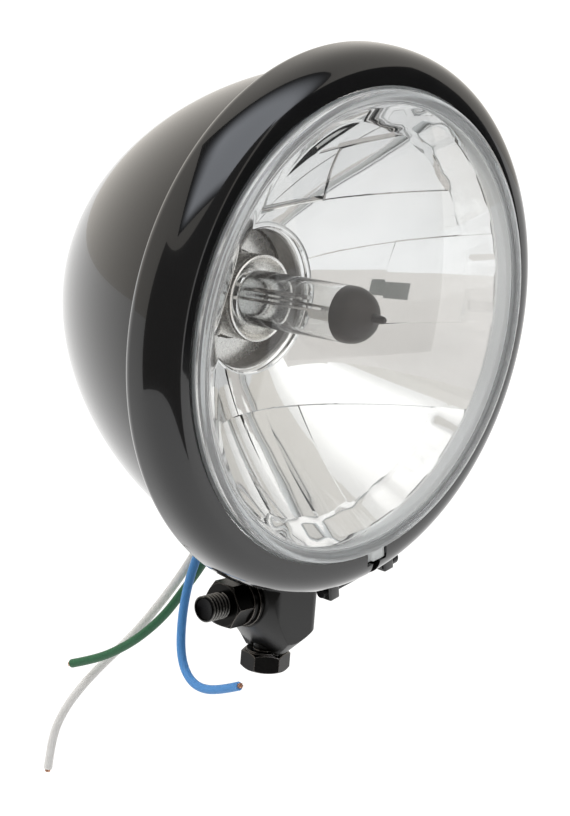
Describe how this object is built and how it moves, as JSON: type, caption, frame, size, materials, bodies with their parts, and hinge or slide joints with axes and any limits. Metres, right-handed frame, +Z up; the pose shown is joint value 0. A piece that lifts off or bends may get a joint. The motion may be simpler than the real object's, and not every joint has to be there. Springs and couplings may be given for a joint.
{
  "type": "motorcycle headlight",
  "caption": "Round motorcycle headlight: domed lens and clamped trim ring on a bowl-shaped shell, carried by a swivelling bottom block with a cross stud, and loose wires.",
  "frame": {"origin": "the stud's axis at the outer face of its nut", "axes": "the stud lies along X with its free end toward -X, the lens faces -Y and Z is up"},
  "size_m": [0.1616, 0.1345, 0.2552],
  "materials": {
    "shell_paint": "gloss black",
    "ring_paint": "gloss black",
    "screw_steel": "dark plated",
    "lens_glass": "clear polished",
    "reflector_metal": "mirror bright",
    "seal_rubber": "matt",
    "bulb_steel": "satin",
    "bulb_glass": "clear with a dark painted tip",
    "insulator_plastic": "matt black",
    "terminal_brass": "plain",
    "blue_insulation": "smooth",
    "white_insulation": "smooth",
    "green_insulation": "smooth",
    "copper": "bare strands",
    "mount_paint": "satin black",
    "mount_steel": "black oxide"
  },
  "bodies": {
    "mount": {"mount_block": "mount_paint", "mount_bolt": "mount_steel", "bolt_washer": "mount_steel", "bolt_nut": "mount_steel", "mount_stud": "mount_steel", "stud_nut": "mount_steel", "spring_washer": "mount_steel", "flat_washer": "mount_steel"},
    "lamp": {"shell": "shell_paint", "trim_ring": "ring_paint", "trim_ring_screw": "screw_steel", "lens": "lens_glass", "reflector": "reflector_metal", "lens_seal": "seal_rubber", "seat_gasket": "seal_rubber", "rubber_boot": "seal_rubber", "wire_grommet": "seal_rubber", "bulb_base": "bulb_steel", "bulb_glass": "bulb_glass", "filament_shield": "bulb_steel", "support_wires": "bulb_steel", "filaments": "bulb_steel", "bulb_insulator": "insulator_plastic", "plug_connector": "insulator_plastic", "terminal_blades": "terminal_brass", "retaining_clip": "screw_steel", "blue_wire": "blue_insulation", "blue_lead": "blue_insulation", "white_wire": "white_insulation", "white_lead": "white_insulation", "green_wire": "green_insulation", "green_lead": "green_insulation", "copper_ends": "copper"}
  },
  "joints": [
    {"name": "aim_swivel", "type": "hinge", "parent": "mount", "child": "lamp", "pos_m": [0.0211, 0, 0], "axis": [0, 0, 1], "range_deg": [-12, 12]}
  ]
}
